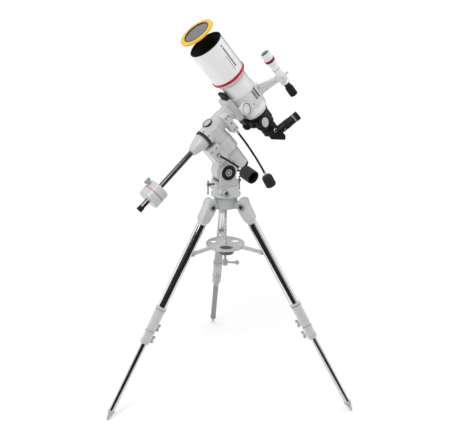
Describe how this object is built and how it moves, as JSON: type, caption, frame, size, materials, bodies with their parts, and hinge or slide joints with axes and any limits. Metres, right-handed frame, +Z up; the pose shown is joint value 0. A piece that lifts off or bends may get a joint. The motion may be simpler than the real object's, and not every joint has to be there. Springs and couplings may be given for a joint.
{
  "type": "refractor telescope on equatorial mount",
  "caption": "Short white refractor on a German equatorial mount and folding steel tube tripod, with finder, diagonal, counterweight and a front solar filter.",
  "frame": {"origin": "middle of the whole model's footprint, on the floor", "axes": "+Z up; the tube points up and towards -X, with the counterweight to -X and -Y"},
  "size_m": [0.9276, 0.8398, 1.4327],
  "materials": {
    "black_metal": "satin black",
    "black_plastic": "matte",
    "cap_black": "matte",
    "chrome": "polished",
    "crimson": "anodised",
    "dark_grey_plastic": "matte",
    "dark_steel": "blackened",
    "film": "metallised film",
    "glass": "coated",
    "grey_plastic": "gloss",
    "hub_grey": "pale grey enamel on cast aluminium",
    "iron_white": "white enamel on cast iron",
    "steel": "turned",
    "white_enamel": "gloss white enamel on cast aluminium",
    "white_tube": "gloss white paint",
    "yellow": "gloss"
  },
  "bodies": {
    "tripod_hub": {"tripod_hub": "hub_grey", "hinge_bolts": "dark_steel", "centre_rod": "dark_steel"},
    "tray": {"accessory_tray": "white_enamel"},
    "tray_lever": {"tray_lever": "chrome"},
    "azimuth_base": {"azimuth_base": "white_enamel", "altitude_bolt": "cap_black"},
    "azimuth_knobs": {"azimuth_knobs": "black_plastic"},
    "latitude_bolt_front": {"latitude_bolt_front": "chrome"},
    "latitude_bolt_rear": {"latitude_bolt_rear": "chrome"},
    "polar_body": {"polar_housing": "white_enamel", "polar_scope_cap": "black_plastic", "ra_flex_shaft": "black_plastic"},
    "ra_knob": {"ra_knob": "dark_grey_plastic"},
    "ra_body": {"ra_shaft": "steel", "ra_front_cap": "grey_plastic", "dec_housing": "white_enamel", "setting_ring": "black_metal", "dec_cone": "white_enamel", "counterweight_shaft": "steel", "shaft_end_cap": "black_plastic", "dec_flex_shaft": "black_plastic"},
    "dec_knob": {"dec_knob": "dark_grey_plastic"},
    "counterweight": {"counterweight": "iron_white"},
    "counterweight_screw": {"counterweight_screw": "chrome"},
    "dec_body": {"dec_saddle": "white_enamel", "dovetail_bar": "black_metal", "tube_ring": "white_enamel", "main_tube": "white_tube", "dew_shield": "white_tube", "accent_ring": "crimson", "lens_cell": "white_tube", "objective_lens": "glass", "focuser_housing": "black_metal", "finder_bracket": "white_enamel", "finder_tube": "white_tube", "finder_eyepiece": "black_plastic"},
    "ring_knob": {"ring_knob": "grey_plastic"},
    "drawtube": {"drawtube": "steel", "drawtube_screw": "steel"},
    "focus_knobs": {"focus_knobs": "grey_plastic"},
    "diagonal": {"diagonal": "black_plastic"},
    "eyepiece": {"eyepiece": "black_plastic"},
    "solar_filter": {"solar_filter_ring": "yellow", "solar_filter_film": "film"},
    "leg_a": {"leg_casting_a": "white_enamel", "upper_leg_tube_a": "chrome", "leg_clamp_a": "white_enamel"},
    "shin_a": {"lower_leg_tube_a": "chrome", "foot_spike_a": "grey_plastic"},
    "leg_b": {"leg_casting_b": "white_enamel", "upper_leg_tube_b": "chrome", "leg_clamp_b": "white_enamel"},
    "shin_b": {"lower_leg_tube_b": "chrome", "foot_spike_b": "grey_plastic"},
    "leg_c": {"leg_casting_c": "white_enamel", "upper_leg_tube_c": "chrome", "leg_clamp_c": "white_enamel"},
    "shin_c": {"lower_leg_tube_c": "chrome", "foot_spike_c": "grey_plastic"}
  },
  "joints": [
    {"name": "tray_slide", "type": "slide", "parent": "tripod_hub", "child": "tray", "axis": [0, 0, -1], "range_m": [0, 0.022]},
    {"name": "leg_a_fold", "type": "hinge", "parent": "tripod_hub", "child": "leg_a", "pos_m": [-0.02592, -0.04451, 0.75], "axis": [-0.9971, -0.0767, 0], "range_deg": [0, 3.2]},
    {"name": "leg_a_slide", "type": "slide", "parent": "leg_a", "child": "shin_a", "axis": [0.0402, -0.5229, 0.8514], "range_m": [-0.1, 0.215]},
    {"name": "leg_b_fold", "type": "hinge", "parent": "tripod_hub", "child": "leg_b", "pos_m": [-0.07906, -0.15541, 0.75], "axis": [0.565, -0.8251, 0], "range_deg": [0, 3.2]},
    {"name": "leg_b_slide", "type": "slide", "parent": "leg_b", "child": "shin_b", "axis": [0.4328, 0.2963, 0.8514], "range_m": [-0.1, 0.215]},
    {"name": "leg_c_fold", "type": "hinge", "parent": "tripod_hub", "child": "leg_c", "pos_m": [0.04356, -0.14598, 0.75], "axis": [0.4321, 0.9018, 0], "range_deg": [0, 3.2]},
    {"name": "leg_c_slide", "type": "slide", "parent": "leg_c", "child": "shin_c", "axis": [-0.473, 0.2266, 0.8514], "range_m": [-0.1, 0.215]},
    {"name": "tray_lever_turn", "type": "hinge", "parent": "tripod_hub", "child": "tray_lever", "pos_m": [-0.02048, -0.1153, 0.51], "axis": [0, 0, 1], "continuous": true},
    {"name": "azimuth_turn", "type": "hinge", "parent": "tripod_hub", "child": "azimuth_base", "pos_m": [-0.02048, -0.1153, 0.8], "axis": [0, 0, 1], "range_deg": [-8, 8]},
    {"name": "azimuth_knobs_turn", "type": "hinge", "parent": "azimuth_base", "child": "azimuth_knobs", "pos_m": [-0.04844, -0.1298, 0.811], "axis": [0.4602, -0.8878, 0], "continuous": true},
    {"name": "latitude_turn", "type": "hinge", "parent": "azimuth_base", "child": "polar_body", "pos_m": [-0.02793, -0.11916, 0.88], "axis": [-0.4602, 0.8878, 0], "range_deg": [-15, 4.5]},
    {"name": "latitude_bolt_front_slide", "type": "slide", "parent": "azimuth_base", "child": "latitude_bolt_front", "axis": [-0.8878, -0.4602, 0], "range_m": [-0.0125, 0.0045]},
    {"name": "latitude_bolt_rear_slide", "type": "slide", "parent": "azimuth_base", "child": "latitude_bolt_rear", "axis": [-0.8878, -0.4602, 0], "range_m": [-0.0132, 0.0045]},
    {"name": "ra_turn", "type": "hinge", "parent": "polar_body", "child": "ra_body", "pos_m": [-0.07171, -0.14186, 1.04015], "axis": [-0.5611, -0.2909, 0.7749], "range_deg": [-25, 95]},
    {"name": "dec_turn", "type": "hinge", "parent": "ra_body", "child": "dec_body", "pos_m": [-0.07171, -0.14186, 1.04015], "axis": [0.6507, 0.4237, 0.6302], "continuous": true},
    {"name": "ra_knob_spin", "type": "hinge", "parent": "polar_body", "child": "ra_knob", "pos_m": [0.03389, -0.2983, 0.93279], "axis": [0.6111, -0.7545, -0.2395], "continuous": true},
    {"name": "dec_knob_spin", "type": "hinge", "parent": "ra_body", "child": "dec_knob", "pos_m": [0.13039, -0.08107, 0.8493], "axis": [0.4524, 0.221, -0.864], "continuous": true},
    {"name": "counterweight_slide", "type": "slide", "parent": "ra_body", "child": "counterweight", "axis": [0.6507, 0.4237, 0.6302], "range_m": [-0.029, 0.16]},
    {"name": "counterweight_screw_turn", "type": "hinge", "parent": "counterweight", "child": "counterweight_screw", "pos_m": [-0.29822, -0.28562, 0.8867], "axis": [-0.5611, -0.2909, 0.7749], "continuous": true},
    {"name": "ring_knob_turn", "type": "hinge", "parent": "dec_body", "child": "ring_knob", "pos_m": [0.04365, -0.1376, 1.11495], "axis": [0.7033, -0.6613, 0.261], "continuous": true},
    {"name": "focus_slide", "type": "slide", "parent": "dec_body", "child": "drawtube", "axis": [0.5611, 0.2909, -0.7749], "range_m": [-0.014, 0.045]},
    {"name": "focus_knobs_turn", "type": "hinge", "parent": "dec_body", "child": "focus_knobs", "pos_m": [0.0886, -0.05973, 1.04382], "axis": [-0.6916, 0.6791, -0.2459], "continuous": true},
    {"name": "diagonal_turn", "type": "hinge", "parent": "drawtube", "child": "diagonal", "pos_m": [0.04314, -0.06707, 1.15138], "axis": [-0.5611, -0.2909, 0.7749], "range_deg": [-90, 90]},
    {"name": "eyepiece_slide", "type": "slide", "parent": "diagonal", "child": "eyepiece", "axis": [0.7818, 0.1213, 0.6116], "range_m": [0, 0.03]},
    {"name": "solar_filter_slide", "type": "slide", "parent": "dec_body", "child": "solar_filter", "axis": [-0.5611, -0.2909, 0.7749], "range_m": [-0.0535, 0.1]}
  ],
  "couplings": [
    {"joint": "leg_a_fold", "follows": "tray_slide", "rad_per_m": 2.4},
    {"joint": "leg_b_fold", "follows": "tray_slide", "rad_per_m": 2.4},
    {"joint": "leg_c_fold", "follows": "tray_slide", "rad_per_m": 2.4},
    {"joint": "latitude_bolt_front_slide", "follows": "latitude_turn", "m_per_rad": 0.047},
    {"joint": "latitude_bolt_rear_slide", "follows": "latitude_turn", "m_per_rad": 0.0495},
    {"joint": "focus_knobs_turn", "follows": "focus_slide", "rad_per_m": 166.7}
  ]
}
